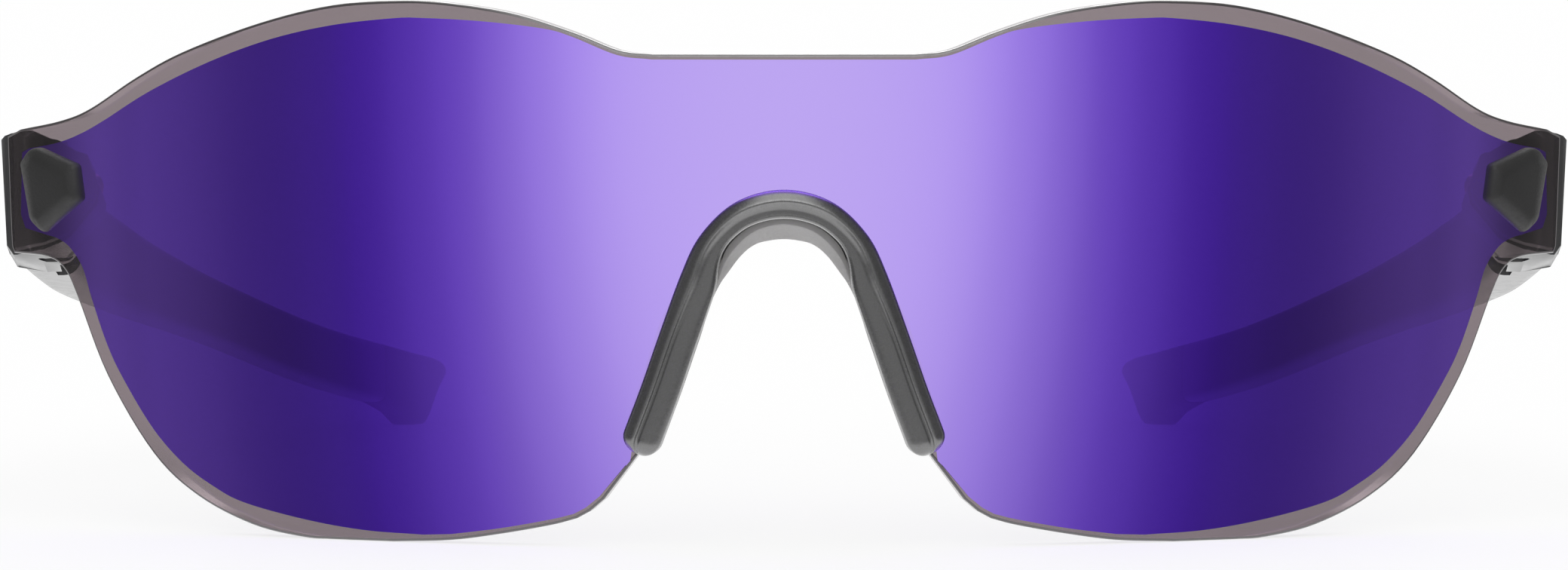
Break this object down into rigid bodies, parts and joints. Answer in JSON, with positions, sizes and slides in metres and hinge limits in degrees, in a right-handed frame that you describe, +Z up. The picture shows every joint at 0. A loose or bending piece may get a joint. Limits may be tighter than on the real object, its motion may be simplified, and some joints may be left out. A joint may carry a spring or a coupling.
{
  "type": "rimless shield sunglasses",
  "caption": "Rimless sunglasses with a wrapped mirror shield lens, a nose saddle, bevelled end caps and folding temple arms with soft tips.",
  "frame": {"origin": "on the surface that the lens lobes and the arm tips stand on, under the middle of the bounding box", "axes": "+X to the wearer's left, +Y from the lens back towards the arm tips, +Z up; the lens faces -Y"},
  "size_m": [0.1436, 0.1453, 0.0474],
  "materials": {
    "mirror_lens": "violet mirror coating on smoky polycarbonate, with a clear band round each lobe",
    "rail_plastic": "dark grey moulded nylon, satin",
    "soft_rubber": "matte dark grey thermoplastic rubber",
    "frame_plastic": "dark charcoal injection-moulded nylon, gloss",
    "cap_plastic": "fine-grained dark grey moulded plastic",
    "white_nylon": "natural nylon",
    "screw_steel": "stainless steel",
    "insert_brass": "turned brass"
  },
  "bodies": {
    "front": {"shield_lens": "mirror_lens", "nose_carrier": "rail_plastic", "nose_pad": "soft_rubber", "left_end_block": "frame_plastic", "right_end_block": "frame_plastic", "left_lens_seat": "soft_rubber", "right_lens_seat": "soft_rubber", "left_lens_cap": "cap_plastic", "right_lens_cap": "cap_plastic", "left_lens_bushing": "white_nylon", "right_lens_bushing": "white_nylon", "left_lens_screw": "screw_steel", "right_lens_screw": "screw_steel", "left_screw_insert": "insert_brass", "right_screw_insert": "insert_brass", "left_hinge_pin": "screw_steel", "right_hinge_pin": "screw_steel"},
    "left_arm": {"left_temple_arm": "frame_plastic", "left_temple_tip": "soft_rubber"},
    "right_arm": {"right_temple_arm": "frame_plastic", "right_temple_tip": "soft_rubber"}
  },
  "joints": [
    {"name": "left_arm_fold", "type": "hinge", "parent": "front", "child": "left_arm", "pos_m": [0.06728, -0.03733, 0.0285], "axis": [0, 0, 1], "range_deg": [0, 81]},
    {"name": "right_arm_fold", "type": "hinge", "parent": "front", "child": "right_arm", "pos_m": [-0.06728, -0.03733, 0.0285], "axis": [0, 0, -1], "range_deg": [0, 75]}
  ]
}
